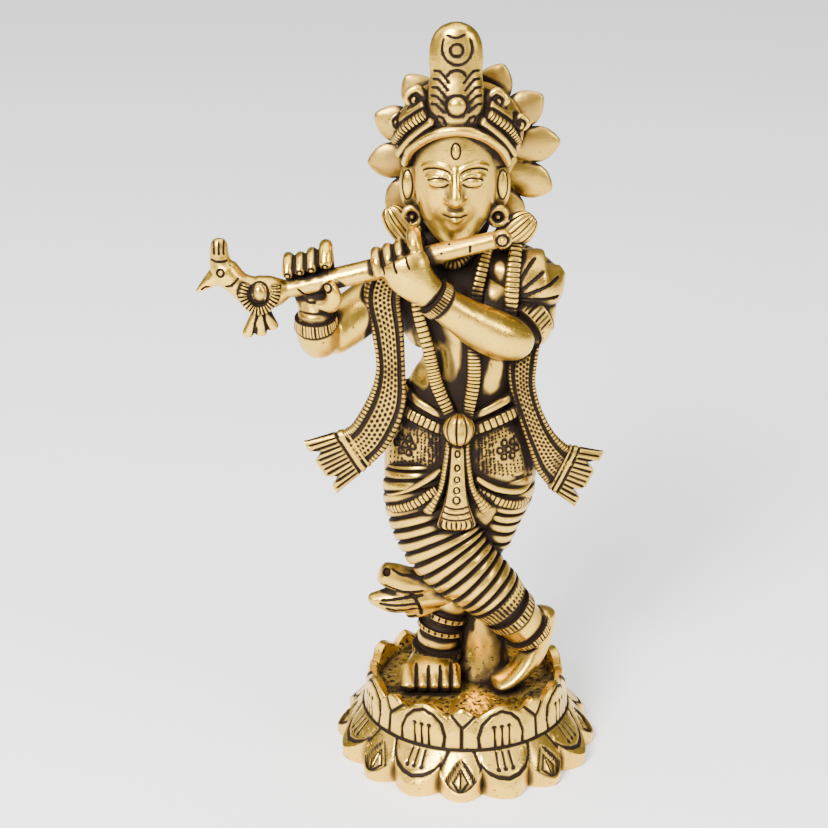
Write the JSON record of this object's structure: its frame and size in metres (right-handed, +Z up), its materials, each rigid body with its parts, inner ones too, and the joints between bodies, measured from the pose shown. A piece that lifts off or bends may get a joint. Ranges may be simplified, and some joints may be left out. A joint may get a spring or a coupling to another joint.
{
  "type": "krishna figure",
  "caption": "Cast brass figure of the flute-playing Krishna with crossed legs and a shawl, standing on a round lotus base.",
  "frame": {"origin": "centre of the lotus base's flat underside", "axes": "+Z up, the figure faces -Y, the flute's bird end points to -X"},
  "size_m": [0.1208, 0.0846, 0.2322],
  "materials": {
    "antiqued_brass": "polished with dark patina left in the recesses"
  },
  "bodies": {
    "root": {"krishna_figure": "antiqued_brass"}
  },
  "joints": []
}
